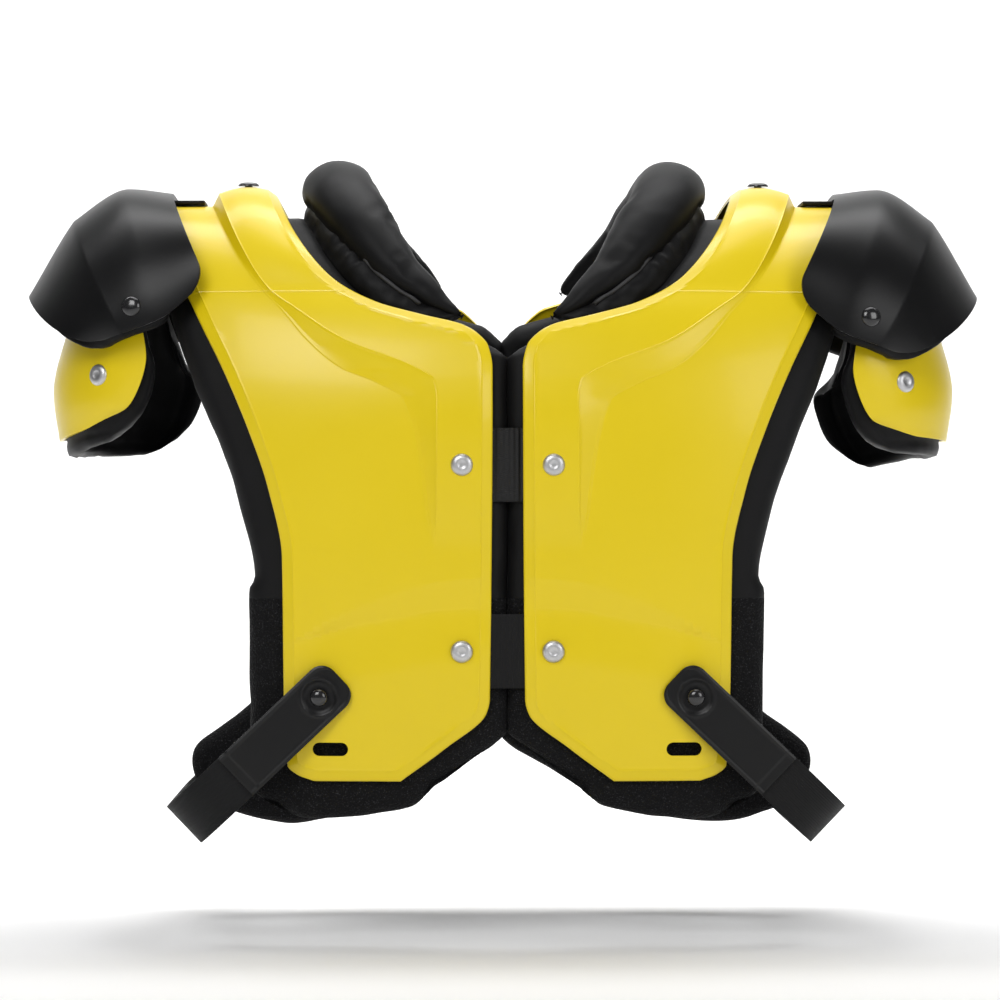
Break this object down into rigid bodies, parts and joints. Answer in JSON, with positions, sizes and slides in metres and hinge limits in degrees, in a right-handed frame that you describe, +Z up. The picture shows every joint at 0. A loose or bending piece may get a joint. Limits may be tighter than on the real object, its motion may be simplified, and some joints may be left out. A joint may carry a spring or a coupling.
{
  "type": "football shoulder pad",
  "caption": "Football shoulder pads: moulded chest-and-back plates over foam liners, laced by elastics, with neck rolls, shoulder flaps, cups and underarm belts.",
  "frame": {"origin": "between the shoulders, at the height of the liner's underside on the shoulder ridge, where the pads rest on a wearer", "axes": "+Z up, the chest faces -Y, +X to the viewer's right when seen from the front"},
  "size_m": [0.586, 0.2689, 0.4206],
  "materials": {
    "yellow_shell": "moulded yellow plastic, glossy",
    "black_shell": "moulded black plastic, satin",
    "strap_black": "coated webbing, semi-matte",
    "pad_cloth": "black knitted cloth over foam",
    "satin_cloth": "black satin cloth over stuffing",
    "elastic_black": "black ribbed elastic",
    "rivet_steel": "polished steel",
    "rivet_black": "black, glossy"
  },
  "bodies": {
    "root": {"back_elastic_lower": "elastic_black", "back_elastic_upper": "elastic_black", "chest_elastic_lower": "elastic_black", "chest_elastic_upper": "elastic_black", "left_back_pad": "pad_cloth", "left_back_rivet_lower": "rivet_steel", "left_back_rivet_upper": "rivet_steel", "left_belt_elastic": "elastic_black", "left_belt_strap": "strap_black", "left_belt_stud_back": "rivet_black", "left_belt_stud_front": "rivet_black", "left_body_plate": "yellow_shell", "left_bridge_rivet": "rivet_black", "left_chest_rivet_lower": "rivet_steel", "left_chest_rivet_upper": "rivet_steel", "left_cup_pad": "pad_cloth", "left_cup_rivet_back": "rivet_steel", "left_cup_rivet_front": "rivet_steel", "left_epaulet": "black_shell", "left_epaulet_button_back": "rivet_black", "left_epaulet_button_front": "rivet_black", "left_epaulet_pad": "pad_cloth", "left_front_pad": "pad_cloth", "left_neck_roll": "satin_cloth", "left_shoulder_cup": "yellow_shell", "left_shoulder_webbing": "elastic_black", "right_back_pad": "pad_cloth", "right_back_rivet_lower": "rivet_steel", "right_back_rivet_upper": "rivet_steel", "right_belt_elastic": "elastic_black", "right_belt_strap": "strap_black", "right_belt_stud_back": "rivet_black", "right_belt_stud_front": "rivet_black", "right_body_plate": "yellow_shell", "right_bridge_rivet": "rivet_black", "right_chest_rivet_lower": "rivet_steel", "right_chest_rivet_upper": "rivet_steel", "right_cup_pad": "pad_cloth", "right_cup_rivet_back": "rivet_steel", "right_cup_rivet_front": "rivet_steel", "right_epaulet": "black_shell", "right_epaulet_button_back": "rivet_black", "right_epaulet_button_front": "rivet_black", "right_epaulet_pad": "pad_cloth", "right_front_pad": "pad_cloth", "right_neck_roll": "satin_cloth", "right_shoulder_cup": "yellow_shell", "right_shoulder_webbing": "elastic_black"}
  },
  "joints": []
}
